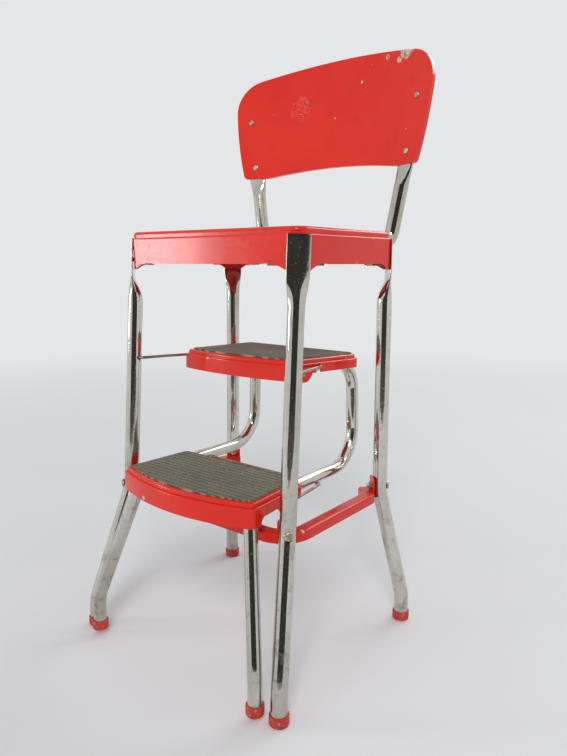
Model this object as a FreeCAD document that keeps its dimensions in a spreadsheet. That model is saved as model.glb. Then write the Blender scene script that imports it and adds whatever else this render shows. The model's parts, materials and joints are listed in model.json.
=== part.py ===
import FreeCAD, Part
import os
from math import asin, cos, degrees, pi, radians, sin, sqrt, tan

from FreeCAD import Placement, Rotation, Vector

# Folding step stool chair: a pressed steel seat on four bent tube legs, a curved back
# panel on two tube posts, and a two-step unit hung on four wire links.
# Millimetres. X runs from the left to the right as seen from the front, Y from the front
# to the back, Z up. While it is built, Y = 0 is the middle of the seat.

SIZES = (
    ("seat_height", 610.0, "floor to the top of the seat"),
    ("seat_half_width", 163.5, "outer face of the side skirt"),
    ("seat_half_depth", 118.5, "outer face of the front and rear skirt"),
    ("seat_sheet", 1.2, "sheet of the seat pan"),
    ("seat_ledge_width", 4.5, "raised seat top set in from the skirt"),
    ("seat_ledge_drop", 9.0, "seat top above the ledge"),
    ("seat_top_round", 4.5, "rounding of the seat's upper edge"),
    ("seat_top_corner", 17.0, "plan radius of the raised top's corners"),
    ("skirt_depth", 46.0, "seat top to the skirt's lower edge at mid span"),
    ("skirt_tip_drop", 8.0, "skirt tips beside the legs below that edge"),
    ("skirt_tip_reach", 40.0, "length of each flared tip along the skirt"),
    ("seat_fit_gap", 0.3, "spoon edge of a leg to the seat's corner wall"),
    ("leg_radius", 11.1, "outer radius of legs and back posts"),
    ("leg_wall", 1.4, "tube wall of legs and back posts"),
    ("leg_inset_x", 11.7, "side skirt to the centre of a leg's top"),
    ("leg_inset_y", 12.7, "front or rear skirt to that centre"),
    ("leg_top_drop", 10.0, "seat top to leg top"),
    ("front_knee_x", 3.4, "crossing of a front leg's two straight runs outside its top"),
    ("front_knee_y", 25.2, "that crossing ahead of the leg's top"),
    ("front_knee_z", 222.0, "crossing of the two straight runs of a front leg"),
    ("rear_knee_x", 3.0, "crossing of a rear leg's two straight runs outside its top"),
    ("rear_knee_y", -3.0, "that crossing behind the leg's top"),
    ("rear_knee_z", 216.0, "crossing of the two straight runs of a rear leg"),
    ("front_foot_x", 33.2, "front foot centre outside the leg's top"),
    ("front_foot_y", 79.2, "front foot centre ahead of the leg's top"),
    ("rear_foot_x", 33.0, "rear foot centre outside the leg's top"),
    ("rear_foot_y", 24.0, "rear foot centre behind the leg's top"),
    ("ankle_height", 41.0, "where a leg turns upright above its foot"),
    ("knee_bend_radius", 110.0, "centre line radius at a knee"),
    ("ankle_bend_radius", 95.0, "centre line radius at an ankle"),
    ("spoon_width", 30.0, "width of a tube end pressed to a spoon"),
    ("spoon_thick", 3.4, "both walls of the spoon at its middle"),
    ("spoon_depth", 3.0, "spoon edge behind its outer face"),
    ("spoon_inset", 3.5, "spoon's outer face inside the tube's outer line"),
    ("spoon_straight", 44.0, "length of a leg's full spoon"),
    ("spoon_taper", 48.0, "length over which a tube turns into a spoon"),
    ("cap_radius", 13.0, "outer radius of a leg's foot cap"),
    ("cap_height", 14.0, "height of a foot cap"),
    ("cap_floor", 3.0, "thickness under the tube's end"),
    ("cap_gap", 0.05, "radial clearance of a tube in its cap"),
    ("step_cap_radius", 12.0, "outer radius of a step leg's foot cap"),
    ("brace_side_inset", 2.5, "side skirt to the outer face of the brace's arms"),
    ("brace_front_reach", 17.0, "outer face of the brace's front run ahead of the skirt"),
    ("brace_bottom_z", 205.0, "lower edge of the brace"),
    ("brace_height", 14.2, "depth of the brace channel"),
    ("brace_width", 20.0, "width of the brace channel"),
    ("brace_sheet", 1.8, "sheet of the brace"),
    ("brace_edge_round", 4.0, "rounding of the brace's upper edges"),
    ("brace_bend_radius", 24.0, "plan radius where an arm turns"),
    ("brace_ear_width", 24.0, "width of the ear behind each leg"),
    ("brace_ear_top_z", 240.0, "top of the ears"),
    ("brace_leg_gap", 0.05, "brace ear to leg"),
    ("brace_nut_gap", 0.35, "brace nuts above the channel"),
    ("leg_flat_depth", 0.7, "flat pressed into a leg under a bolt head"),
    ("bolt_radius", 3.0, "shank of the frame bolts"),
    ("bolt_clearance", 0.2, "radial clearance of the frame bolts"),
    ("bolt_head_radius", 6.6, "slotted round head"),
    ("bolt_head_height", 3.6, "slotted round head"),
    ("bolt_slot_width", 1.4, "screwdriver slot"),
    ("bolt_slot_depth", 1.5, "screwdriver slot"),
    ("nut_across_flats", 10.0, "hexagon nuts"),
    ("nut_thickness", 4.5, "hexagon nuts"),
    ("bracket_sheet", 2.0, "sheet of the seat's corner brackets"),
    ("bracket_wing", 19.0, "bracket wings along the skirts"),
    ("bracket_reach", 32.0, "skirt corner to the start of the diagonal web"),
    ("bracket_bottom_drop", 47.8, "seat top to the bracket's lower edge"),
    ("bracket_height", 34.0, "height of a corner bracket"),
    ("seat_bolt_low_drop", 40.0, "seat top to the lower bolt of a leg"),
    ("seat_bolt_pitch", 17.0, "between the two bolts of a leg"),
    ("post_root_drop", 48.0, "seat top to the post's lower end"),
    ("post_root_length", 30.0, "lower end to the bend behind the rear skirt"),
    ("post_root_bend", 10.0, "centre line radius of the flat tube at that bend"),
    ("post_root_taper", 12.0, "from the flat tube to the round one"),
    ("post_heel_inset", 37.0, "side skirt to the post centre at its bend"),
    ("post_heel_rise", -12.0, "seat top to that bend"),
    ("post_spread", 39.0, "post centre at its upper end outside the bend"),
    ("post_top_rise", 226.0, "seat top to the post's upper end"),
    ("post_bend_radius", 21.0, "centre line radius of that bend"),
    ("post_flat_width", 30.0, "width of a post's pressed ends"),
    ("post_flat_thick", 7.0, "thickness of a post's pressed ends"),
    ("post_flat_length", 127.0, "pressed upper end behind the panel"),
    ("post_flat_taper", 26.0, "from the round tube to the pressed upper end"),
    ("post_bolt_pitch", 12.0, "between the two bolts on the skirt"),
    ("panel_bottom_rise", 102.0, "seat top to the panel's lower corners"),
    ("panel_tab_x", 125.0, "inner end of the panel's straight lower corners"),
    ("panel_arch_rise", 9.5, "middle of the lower edge above its corners"),
    ("panel_crown_rise", 282.0, "seat top to the panel's highest point"),
    ("panel_lower_half_width", 168.0, "panel at its lower corners"),
    ("panel_mid_half_width", 184.5, "panel half way up its side"),
    ("panel_upper_half_width", 190.0, "the sides run up to this half width"),
    ("panel_side_rise", 258.0, "seat top to the level of that half width"),
    ("panel_crown_radius", 785.0, "arc of the upper edge"),
    ("panel_shoulder_radius", 50.0, "shoulders"),
    ("panel_corner_round", 9.0, "lower corners"),
    ("panel_curve_radius", 560.0, "plan radius of the dished panel"),
    ("panel_depth_y", 64.0, "front face at its middle and lower edge, behind the rear skirt"),
    ("panel_lean", 6.0, "degrees the panel leans back"),
    ("panel_sheet", 1.2, "sheet of the panel"),
    ("panel_rim", 8.0, "depth of the turned rim"),
    ("panel_rim_round", 2.5, "rounding from panel to rim"),
    ("panel_post_gap", 1.0, "rim notch beside a post"),
    ("panel_screw_low_rise", 121.0, "lower panel screws above the seat"),
    ("panel_screw_high_rise", 199.0, "upper panel screws above the seat"),
    ("rivet_radius", 2.2, "panel rivet shank"),
    ("rivet_head_radius", 4.4, "panel rivet head"),
    ("rivet_head_height", 1.6, "panel rivet head"),
    ("step_tube_radius", 9.525, "outer radius of the step unit's tubes"),
    ("step_tube_wall", 1.25, "tube wall of the step unit"),
    ("upper_tread_z", 431.6, "upper tread's top face above Y = 0"),
    ("upper_tread_tilt", 2.2, "degrees the upper tread falls to the rear"),
    ("lower_tread_z", 266.0, "lower tread's top face"),
    ("step_back_y", 104.0, "centre of the step tubes' upright run"),
    ("step_upper_front_x", 90.5, "upper run at its front end"),
    ("step_upper_front_y", 42.0, "front end of the upper run ahead of the middle"),
    ("step_bend_x", 99.0, "top of the upright run"),
    ("step_back_x", 103.2, "foot of the upright run"),
    ("step_lower_x", 106.0, "lower run"),
    ("step_front_y", 147.0, "where the lower run turns down"),
    ("step_foot_x", 157.5, "step foot centre"),
    ("step_foot_y", 199.0, "step foot centre"),
    ("step_ankle_height", 60.0, "where a step leg turns upright"),
    ("step_hole_y", 2.45, "upper link hole of the step tubes behind the unit's middle"),
    ("step_lift", 9.0, "step feet above the floor when stored"),
    ("step_upper_bend", 45.0, "centre line radius under the upper tread"),
    ("step_lower_bend", 55.0, "centre line radius behind the lower tread"),
    ("step_front_bend", 30.0, "centre line radius above a step leg"),
    ("step_ankle_bend", 90.0, "centre line radius at a step ankle"),
    ("tread_sheet", 1.5, "sheet of the step pans"),
    ("tread_gap", 0.05, "tube to the underside of a tread"),
    ("saddle_gap", 0.3, "step tube in the rear edge of the lower pan"),
    ("tread_round", 3.0, "rounding of the pan's upper edges"),
    ("tread_ledge_width", 3.8, "raised tread set in from the skirt"),
    ("tread_ledge_drop", 6.0, "raised tread above its ledge"),
    ("upper_front_y", 58.0, "front corners of the upper pan"),
    ("upper_bow", 13.0, "bow of the upper pan's front edge"),
    ("upper_front_half", 104.0, "half width at the front corners"),
    ("upper_rear_half", 114.5, "half width at the rear"),
    ("upper_rear_y", 107.0, "rear edge of the upper pan"),
    ("upper_skirt", 28.5, "front skirt of the upper pan"),
    ("upper_side_skirt", 20.0, "side skirt of the upper pan"),
    ("upper_lobe", 32.0, "lobe at the front of each side skirt"),
    ("upper_lobe_length", 42.0, "length of that lobe"),
    ("lower_front_y", 165.0, "front corners of the lower pan"),
    ("lower_bow", 26.0, "bow of the lower pan's front edge"),
    ("lower_front_half", 128.0, "half width at the front corners"),
    ("lower_rear_half", 119.5, "half width at the rear"),
    ("lower_rear_y", 44.5, "rear edge of the lower pan, ahead of the middle"),
    ("lower_skirt", 32.5, "front skirt of the lower pan"),
    ("lower_side_skirt", 18.0, "side skirt of the lower pan"),
    ("lower_lobe_length", 17.0, "full depth part of each side skirt"),
    ("pan_corner_round", 7.0, "front corners of both pans"),
    ("pan_rear_round", 16.0, "rear corners of both pans"),
    ("rear_lip", 4.0, "turned lip along a pan's rear edge"),
    ("mat_margin", 6.0, "tread mat inside the raised tread"),
    ("mat_thick", 2.0, "tread mat"),
    ("mat_groove_pitch", 9.0, "between the mat's grooves"),
    ("mat_groove_width", 1.6, "grooves of the mat"),
    ("mat_groove_depth", 0.8, "grooves of the mat"),
    ("link_wire_radius", 2.15, "wire of the links"),
    ("link_reach", 120.0, "leg hole to step hole along Y"),
    ("link_fall", 3.0, "leg hole above step hole"),
    ("link_bend", 6.0, "centre line radius of the wire's bends"),
    ("link_turn_inset", 14.9, "upper leg hole to where a link turns into its leg"),
    ("link_pin_reach", 5.0, "wire past the inside of the leg wall"),
    ("link_hole_radius", 3.5, "hole in a leg"),
    ("link_pin_clearance", 0.35, "radial clearance in a step tube"),
    ("link_side_gap", 4.6, "link's bend outside the tube or skirt that it passes"),
    ("link_tail", 3.0, "wire past the inside of a step tube"),
    ("lower_link_drop", 5.0, "lower step hole under the tube's centre line"),
    ("skirt_notch_width", 10.0, "notch for a link in the upper pan's side skirt"),
    ("thread_gap", 0.05, "radial gap of a nut on its bolt"),
    ("seat_gap", 0.05, "between pieces that are bolted face to face"),
)

doc = FreeCAD.newDocument("step_stool_chair")
sheet = doc.addObject("Spreadsheet::Sheet", "Sizes")
for row, (alias, value, note) in enumerate(SIZES, start=1):
    sheet.set("A%d" % row, alias)
    sheet.set("B%d" % row, str(value))
    sheet.set("C%d" % row, note)
    sheet.setAlias("B%d" % row, alias)
doc.recompute()

nodes = []


def size(alias):
    return float(sheet.get(alias))


def bind(feature, **expressions):
    """Tie each named property to an expression over the sheet."""
    for name, expression in expressions.items():
        feature.setExpression(name.replace("__", "."), expression)


def node(feature, label):
    """Register a finished sub-part under the name of its file."""
    feature.Label = label
    nodes.append(feature)
    return feature


def shaped(name, shape):
    feature = doc.addObject("Part::Feature", name)
    feature.Shape = shape
    return feature


# Tubes and wires

def bent_path(points, radii):
    """Straight runs through the points, joined by tangent arcs of the given radii."""
    edges = []
    start = points[0]
    for before, corner, after, radius in zip(points, points[1:], points[2:], radii):
        into = (corner - before).normalize()
        out = (after - corner).normalize()
        turn = into.getAngle(out)
        reach = radius * tan(turn / 2)
        arc_start = corner - into * reach
        arc_end = corner + out * reach
        inward = (out - into).normalize()
        middle = corner + inward * (radius / cos(turn / 2) - radius)
        edges.append(Part.LineSegment(start, arc_start).toShape())
        edges.append(Part.Arc(arc_start, middle, arc_end).toShape())
        start = arc_end
    edges.append(Part.LineSegment(start, points[-1]).toShape())
    return Part.Wire(edges)


def sweep(name, points, bends, radius_expression, section=None):
    """A round bar along a bent path, its radius tied to the sheet, or another section."""
    path = shaped(name + "_path", bent_path(points, bends))
    if section is None:
        section = doc.addObject("Part::Circle", name + "_section")
        direction = (points[1] - points[0]).normalize()
        section.Placement = Placement(points[0], Rotation(Vector(0, 0, 1), direction))
        bind(section, Radius=radius_expression)
    bar = doc.addObject("Part::Sweep", name + "_bar")
    bar.Sections = [section]
    bar.Spine = (path, ["Edge%d" % (i + 1) for i in range(len(path.Shape.Edges))])
    bar.Solid = True
    bar.Frenet = False
    return bar


def cylinder(name, start, direction, radius_expression, length_expression):
    rod = doc.addObject("Part::Cylinder", name)
    rod.Placement = Placement(start, Rotation(Vector(0, 0, 1), direction))
    bind(rod, Radius=radius_expression, Height=length_expression)
    return rod


def cut(name, base, tool):
    feature = doc.addObject("Part::Cut", name)
    feature.Base = base
    feature.Tool = tool
    return feature


def fuse(name, shapes):
    feature = doc.addObject("Part::MultiFuse", name)
    feature.Shapes = shapes
    feature.Refine = True
    return feature


def compound(name, shapes):
    feature = doc.addObject("Part::Compound", name)
    feature.Links = shapes
    return feature


def spoon_section(centre, along, outward, press):
    """Outline of a tube pressed from round (0) to a spoon (1), outer wall kept outside."""
    radius = size("leg_radius")
    side = along.cross(outward).normalize()
    outward = side.cross(along)
    split = radians(72)
    rim = spoon_face - size("spoon_depth")
    thick = size("spoon_thick")
    half = size("spoon_width") / 2
    lip = thick / 2

    def blend(round_uv, spoon_uv):
        u = round_uv[0] + (spoon_uv[0] - round_uv[0]) * press
        v = round_uv[1] + (spoon_uv[1] - round_uv[1]) * press
        return centre + outward * u + side * v

    outer_end = ((radius * cos(split), radius * sin(split)), (rim + lip * 0.8, half - lip * 0.5))
    edge_end = ((0.0, radius), (rim + lip * 0.1, half))
    inner_end = ((-radius * cos(split), radius * sin(split)), (rim - lip * 0.4, half - lip * 1.1))
    inner_mid = ((-radius, 0.0), (spoon_face - thick, 0.0))
    outer_mid = ((radius, 0.0), (spoon_face, 0.0))

    def mirrored(pair):
        return tuple((u, -v) for u, v in pair)

    corners = [blend(*mirrored(outer_end)), blend(*outer_end), blend(*inner_end), blend(*mirrored(inner_end))]
    middles = [blend(*outer_mid), blend(*edge_end), blend(*inner_mid), blend(*mirrored(edge_end))]
    edges = []
    for i, middle in enumerate(middles):
        edges.append(Part.Arc(corners[i], middle, corners[(i + 1) % 4]).toShape())
    return Part.Wire(edges)


def spoon_loft(name, stations, ruled):
    """A loft through spoon sections; each station is centre, along, outward, press."""
    sections = []
    for i, station in enumerate(stations):
        sections.append(shaped("%s_%d" % (name, i), spoon_section(*station)))
    loft = doc.addObject("Part::Loft", name)
    loft.Sections = sections
    loft.Solid = True
    loft.Ruled = ruled
    return loft


# Levels shared by several pieces

seat_top = size("seat_height")
skirt_bottom = seat_top - size("skirt_depth")
leg_top = seat_top - size("leg_top_drop")
leg_top_x = size("seat_half_width") - size("leg_inset_x")
leg_top_y = size("seat_half_depth") - size("leg_inset_y")
spoon_face = size("leg_radius") - size("spoon_inset")
spoon_edge = spoon_face - size("spoon_depth") - size("spoon_thick") * 0.2
corner_sum = leg_top_x + leg_top_y + sqrt(2) * (spoon_edge - size("seat_fit_gap"))
seat_bolt_levels = [seat_top - size("seat_bolt_low_drop") + size("seat_bolt_pitch") * i for i in (0, 1)]
CORNERS = (("front_left", -1, -1), ("front_right", 1, -1), ("rear_left", -1, 1), ("rear_right", 1, 1))


def leg_knee(sx, sy):
    end = "front" if sy < 0 else "rear"
    return Vector(sx * (leg_top_x + size(end + "_knee_x")), sy * (leg_top_y + size(end + "_knee_y")),
                  size(end + "_knee_z"))


def leg_foot(sx, sy, z):
    end = "front" if sy < 0 else "rear"
    return Vector(sx * (leg_top_x + size(end + "_foot_x")), sy * (leg_top_y + size(end + "_foot_y")), z)


def leg_run_point(sx, sy, z):
    """Centre of a leg's upper straight run, which ends in its spoon, at a height."""
    top = Vector(sx * leg_top_x, sy * leg_top_y, leg_top)
    knee = leg_knee(sx, sy)
    share = (top.z - z) / (top.z - knee.z)
    return top + (knee - top) * share


def outward(sx, sy):
    return Vector(sx, sy, 0).normalize()


# Wire links: leg holes on the front legs, step holes on the step tubes

tilt = radians(size("upper_tread_tilt"))


def upper_tread_level(y):
    return size("upper_tread_z") - y * tan(tilt)


def upper_tube_level(y):
    return upper_tread_level(y) - (size("tread_sheet") + size("tread_gap") + size("step_tube_radius")) / cos(tilt)


lower_tube_z = size("lower_tread_z") - size("tread_sheet") - size("tread_gap") - size("step_tube_radius")


def leg_hole(level):
    """Link hole of the right front leg: the point of its centre line at that height."""
    return leg_run_point(1, -1, level)


upper_hole = leg_hole(upper_tube_level(0) + size("link_fall"))
lower_hole = leg_hole(lower_tube_z - size("lower_link_drop") + size("link_fall"))
upper_step_hole = Vector(0, upper_hole.y + size("link_reach"), upper_hole.z - size("link_fall"))
lower_step_hole = Vector(0, lower_hole.y + size("link_reach"), lower_hole.z - size("link_fall"))
unit_shift = Vector(0, upper_step_hole.y - size("step_hole_y"), 0)


# Legs

brace_top = size("brace_bottom_z") + size("brace_height")
brace_bolt_z = brace_top + size("nut_across_flats") / sqrt(3) + size("brace_nut_gap")


def make_leg(label, sx, sy):
    out = outward(sx, sy)
    spoon_low = leg_top - size("spoon_straight")
    taper = size("spoon_taper")
    knee = leg_knee(sx, sy)
    foot = leg_foot(sx, sy, size("cap_floor"))
    ankle = leg_foot(sx, sy, size("ankle_height"))
    up = (leg_run_point(sx, sy, spoon_low) - knee).normalize()
    start = leg_run_point(sx, sy, spoon_low - taper)
    points = [start, knee, ankle, foot]
    bends = [size("knee_bend_radius"), size("ankle_bend_radius")]
    round_end = shaped(label + "_round_end", spoon_section(start, up, out, 0.0))
    outer = sweep(label + "_outer", points, bends, None, round_end)
    bore_start = leg_run_point(sx, sy, spoon_low - taper - 2 * size("leg_wall"))
    bore_end = foot - Vector(0, 0, size("cap_floor"))
    bore = sweep(label + "_bore", [bore_start, knee, ankle, bore_end], bends, "Sizes.leg_radius - Sizes.leg_wall")
    stations = []
    for i in range(6):
        press = (1 - cos(pi * i / 5)) / 2
        stations.append((leg_run_point(sx, sy, spoon_low - taper * (1 - i / 5)), up, out, press))
    neck = spoon_loft(label + "_neck", stations, False)
    flat = [(leg_run_point(sx, sy, level), up, out, 1.0) for level in (spoon_low, leg_top)]
    spoon = spoon_loft(label + "_spoon", flat, True)
    body = fuse(label + "_tube", [outer, neck, spoon])
    tools = [bore]
    for i, level in enumerate(seat_bolt_levels):
        blind = leg_run_point(sx, sy, level) - out * size("leg_radius")
        tools.append(cylinder("%s_stud_hole_%d" % (label, i), blind, out,
                              "Sizes.bolt_radius + Sizes.bolt_clearance",
                              "2 * Sizes.leg_radius - Sizes.spoon_inset - Sizes.spoon_thick / 2"))
    bolt_centre = leg_centre_at_bolt(sx, sy)
    tools.append(cylinder(label + "_bolt_hole", bolt_centre - out * 2 * size("leg_radius"), out,
                          "Sizes.bolt_radius + Sizes.bolt_clearance", "4 * Sizes.leg_radius"))
    flat_out = size("leg_radius") - size("leg_flat_depth")
    for side in (-1, 1):
        tools.append(cylinder("%s_bolt_flat_%s" % (label, "in" if side < 0 else "out"),
                              bolt_centre + out * side * flat_out, out * side,
                              "Sizes.bolt_head_radius + 1", "Sizes.leg_radius"))
    if sy < 0:
        for name, hole in (("upper", upper_hole), ("lower", lower_hole)):
            inner = Vector(0, hole.y, hole.z)
            tools.append(cylinder("%s_%s_link_hole" % (label, name), inner, Vector(sx, 0, 0),
                                  "Sizes.link_hole_radius", "Sizes.seat_half_width"))
    return cut(label + "_leg", body, fuse(label + "_cuts", tools))


def leg_centre_at_bolt(sx, sy):
    """Centre of a leg at the height of its brace bolt, on the knee's bend."""
    knee = leg_knee(sx, sy)
    foot = leg_foot(sx, sy, size("ankle_height"))
    start = leg_run_point(sx, sy, leg_top - size("spoon_straight") - size("spoon_taper"))
    path = bent_path([start, knee, foot], [size("knee_bend_radius")])
    level = Part.makePlane(1000, 1000, Vector(-500, -500, brace_bolt_z))
    return path.section(level).Vertexes[0].Point


for place, sx, sy in CORNERS:
    node(make_leg(place, sx, sy), place + "_leg")


# Pressed sheet, bands and hardware

def edge_picks(shape, wanted):
    return [i + 1 for i, edge in enumerate(shape.Edges) if wanted(edge)]


def rounded(name, base, radius, wanted):
    """A fillet on the edges that the test picks."""
    doc.recompute()
    fillet = doc.addObject("Part::Fillet", name)
    fillet.Base = base
    fillet.Edges = [(i, radius, radius) for i in edge_picks(base.Shape, wanted)]
    return fillet


def at_level(z):
    return lambda edge: all(abs(v.Z - z) < 1e-4 for v in edge.Vertexes) and abs(edge.CenterOfMass.z - z) < 1e-3


def upright(edge):
    first, last = edge.firstVertex().Point, edge.lastVertex().Point
    return abs(first.x - last.x) < 1e-4 and abs(first.y - last.y) < 1e-4


def prism(name, outline, height_expression, direction=None):
    """An outline drawn as a face and pushed up by a length tied to the sheet."""
    face = shaped(name + "_face", Part.Face(outline))
    solid = doc.addObject("Part::Extrusion", name)
    solid.Base = face
    solid.DirMode = "Custom"
    solid.Dir = direction or Vector(0, 0, 1)
    solid.Solid = True
    bind(solid, LengthFwd=height_expression)
    return solid


def polygon(points):
    return Part.makePolygon(list(points) + [points[0]])


def offset_points(points, distance):
    """The polyline moved to its left by a distance, corners mitred."""
    moved = []
    for i, point in enumerate(points):
        normals = []
        for a, b in ((i - 1, i), (i, i + 1)):
            if a >= 0 and b < len(points):
                run = (points[b] - points[a]).normalize()
                normals.append(Vector(-run.y, run.x, 0))
        mean = sum(normals[1:], normals[0]).normalize()
        moved.append(point + mean * (distance / mean.dot(normals[0])))
    return moved


def band(points, radii, width):
    """Closed outline of a strip whose right side follows the points."""
    right = bent_path(points, radii)
    left_points = offset_points(points, width)
    left = bent_path(left_points, [radius - width for radius in radii])
    ends = [Part.LineSegment(points[-1], left_points[-1]).toShape()]
    ends.append(Part.LineSegment(left_points[0], points[0]).toShape())
    return Part.Wire(Part.__sortEdges__(right.Edges + left.Edges + ends))


def screw(name, seat, axis, shank_expression, head_radius, head_height, slotted):
    """A round headed screw: the head stands on the seat, the shank points back."""
    head = cylinder(name + "_head", seat, axis, head_radius, head_height)
    doc.recompute()
    rim = seat + axis * head.Height.Value
    domed = rounded(name + "_dome", head, min(head.Height.Value * 0.8, head.Radius.Value * 0.6),
                    lambda edge: edge.Closed and (edge.CenterOfMass - rim).Length < 1e-4)
    shank = cylinder(name + "_shank", seat, axis * -1, "Sizes.bolt_radius", shank_expression)
    if not slotted:
        return fuse(name, [domed, shank])
    slot = doc.addObject("Part::Box", name + "_slot")
    bind(slot, Length="2 * (%s) + 2" % head_radius, Width="Sizes.bolt_slot_width", Height="Sizes.bolt_slot_depth + 1")
    doc.recompute()
    turn = Rotation(Vector(0, 0, 1), axis)
    start = seat + axis * (head.Height.Value - size("bolt_slot_depth"))
    middle = Vector(slot.Length.Value / 2, slot.Width.Value / 2, 0)
    slot.Placement = Placement(start - turn.multVec(middle), turn)
    return cut(name, fuse(name + "_solid", [domed, shank]), slot)


def nut(name, seat, axis):
    """A hexagon nut that stands on the seat and points along the axis."""
    body = doc.addObject("Part::Prism", name + "_hexagon")
    body.Polygon = 6
    body.Placement = Placement(seat, Rotation(Vector(0, 0, 1), axis))
    bind(body, Circumradius="Sizes.nut_across_flats / sqrt(3)", Height="Sizes.nut_thickness")
    bore = cylinder(name + "_bore", seat - axis, axis, "Sizes.bolt_radius + Sizes.thread_gap",
                    "Sizes.nut_thickness + 2")
    return cut(name, body, bore)


# Foot caps

def foot_cap(name, centre, outer_alias, tube_alias):
    blank = cylinder(name + "_blank", centre, Vector(0, 0, 1), "Sizes." + outer_alias, "Sizes.cap_height")
    doc.recompute()
    top = centre.z + size("cap_height")
    low = rounded(name + "_low", blank, size("cap_floor") * 0.8, lambda e: e.Closed and at_level(centre.z)(e))
    rim = rounded(name + "_rim", low, 0.9, lambda e: e.Closed and at_level(top)(e))
    floor = centre + Vector(0, 0, size("cap_floor"))
    hole = cylinder(name + "_hole", floor, Vector(0, 0, 1), "Sizes.%s + Sizes.cap_gap" % tube_alias,
                    "Sizes.cap_height")
    return cut(name, rim, hole)


for place, sx, sy in CORNERS:
    cap = foot_cap(place + "_cap", leg_foot(sx, sy, 0), "cap_radius", "leg_radius")
    node(cap, place + "_foot_cap")


# Seat pan

def seat_outline(growth):
    """Skirt outline with its diagonal corners, moved inwards by the growth."""
    x = size("seat_half_width") - growth
    y = size("seat_half_depth") - growth
    total = corner_sum - growth * sqrt(2)
    corners = []
    for sx, sy in ((1, 1), (-1, 1), (-1, -1), (1, -1)):
        pair = [Vector(sx * x, sy * (total - x), 0), Vector(sx * (total - y), sy * y, 0)]
        corners += pair if sx * sy > 0 else pair[::-1]
    return corners


def rounded_rectangle(x0, y0, x1, y1, radius):
    corners = [Vector(x1, y1, 0), Vector(x0, y1, 0), Vector(x0, y0, 0), Vector(x1, y0, 0)]
    middle = (corners[0] + corners[3]) * 0.5
    path = bent_path([middle] + corners + [middle], [radius] * 4)
    return Part.Wire(path.Edges)


def lifted(outline, z):
    moved = outline.copy()
    moved.translate(Vector(0, 0, z))
    return moved


seat_ledge = seat_top - size("seat_ledge_drop")
tip_level = skirt_bottom - size("skirt_tip_drop")


def seat_solid(name, growth):
    """Outer form of the seat, or the hollow inside it when the growth is the sheet."""
    low = tip_level - (1 if growth else 0)
    skirt = prism(name + "_skirt", lifted(polygon(seat_outline(growth)), low),
                  "Sizes.skirt_depth + Sizes.skirt_tip_drop - Sizes.seat_ledge_drop + %g" % (1 - growth if growth else 0))
    soft = rounded(name + "_corners", skirt, 3.0 - growth, upright)
    ledge = rounded(name + "_shoulder", soft, 2.4 - growth, at_level(seat_ledge - growth))
    step = size("seat_ledge_width") + growth
    x = size("seat_half_width") - step
    y = size("seat_half_depth") - step
    outline = rounded_rectangle(-x, -y, x, y, size("seat_top_corner") - growth)
    top = prism(name + "_top", lifted(outline, seat_ledge - growth - 4), "Sizes.seat_ledge_drop + 4")
    crown = rounded(name + "_crown", top, size("seat_top_round") - growth, at_level(seat_top - growth))
    return fuse(name, [ledge, crown])


def skirt_profile(half_span, across):
    """Area under the skirt's lower edge between two flared tips."""
    inner = half_span - size("skirt_tip_reach")
    low, high = tip_level, skirt_bottom
    chord = Vector(size("skirt_tip_reach"), 0, low - high)
    sag = Vector(0.35, 0, 0.94) * (chord.Length * 0.09)
    points = [Vector(-half_span, 0, low), Vector(-inner, 0, high), Vector(inner, 0, high), Vector(half_span, 0, low)]
    left_mid = (points[0] + points[1]) * 0.5 + Vector(-sag.x, 0, sag.z)
    right_mid = (points[2] + points[3]) * 0.5 + sag
    edges = [Part.Arc(points[0], left_mid, points[1]).toShape(),
             Part.LineSegment(points[1], points[2]).toShape(),
             Part.Arc(points[2], right_mid, points[3]).toShape()]
    below = [Vector(half_span, 0, low - 20), Vector(-half_span, 0, low - 20)]
    edges += [Part.LineSegment(points[3], below[0]).toShape(),
              Part.LineSegment(below[0], below[1]).toShape(),
              Part.LineSegment(below[1], points[0]).toShape()]
    wire = Part.Wire(edges)
    if across:
        wire.rotate(Vector(0, 0, 0), Vector(0, 0, 1), 90)
    return wire


def skirt_tool(name, half_span, across):
    outline = skirt_profile(half_span, across)
    direction = Vector(1, 0, 0) if across else Vector(0, 1, 0)
    outline.translate(direction * -size("seat_half_width") * 1.2)
    return prism(name, outline, "2.4 * Sizes.seat_half_width", direction)


front_span = corner_sum - size("seat_half_depth") - 2
side_span = corner_sum - size("seat_half_width") - 2
seat_tools = [seat_solid("seat_hollow", size("seat_sheet"))]
seat_tools.append(skirt_tool("seat_front_edge", front_span, False))
seat_tools.append(skirt_tool("seat_side_edge", side_span, True))
web_distance = (size("seat_half_width") + size("seat_half_depth") - 2 * size("seat_sheet")
                - size("bracket_reach")) / sqrt(2)
for place, sx, sy in CORNERS:
    out = outward(sx, sy)
    for i, level in enumerate(seat_bolt_levels):
        start = leg_run_point(sx, sy, level) - out * size("leg_radius")
        seat_tools.append(cylinder("seat_%s_hole_%d" % (place, i), start, out,
                                   "Sizes.bolt_radius + Sizes.bolt_clearance", "2 * Sizes.leg_radius"))
post_bolt_middle = seat_top - size("post_root_drop") + (size("post_root_length") - size("post_root_bend")) / 2
post_bolt_levels = [post_bolt_middle + size("post_bolt_pitch") * (i - 0.5) for i in (0, 1)]
post_root_x = (size("seat_half_width") - size("seat_sheet") - size("seat_gap") - size("bracket_reach")
               - size("bracket_wing") / 2)
for sx in (-1, 1):
    for i, level in enumerate(post_bolt_levels):
        start = Vector(sx * post_root_x, size("seat_half_depth") - 5, level)
        seat_tools.append(cylinder("seat_post_hole_%d_%d" % (sx, i), start, Vector(0, 1, 0),
                                   "Sizes.bolt_radius + Sizes.bolt_clearance", "10"))
node(cut("seat_pressing", seat_solid("seat_blank", 0), fuse("seat_cuts", seat_tools)), "seat_pan")


# Corner brackets, seat studs and nuts

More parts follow.
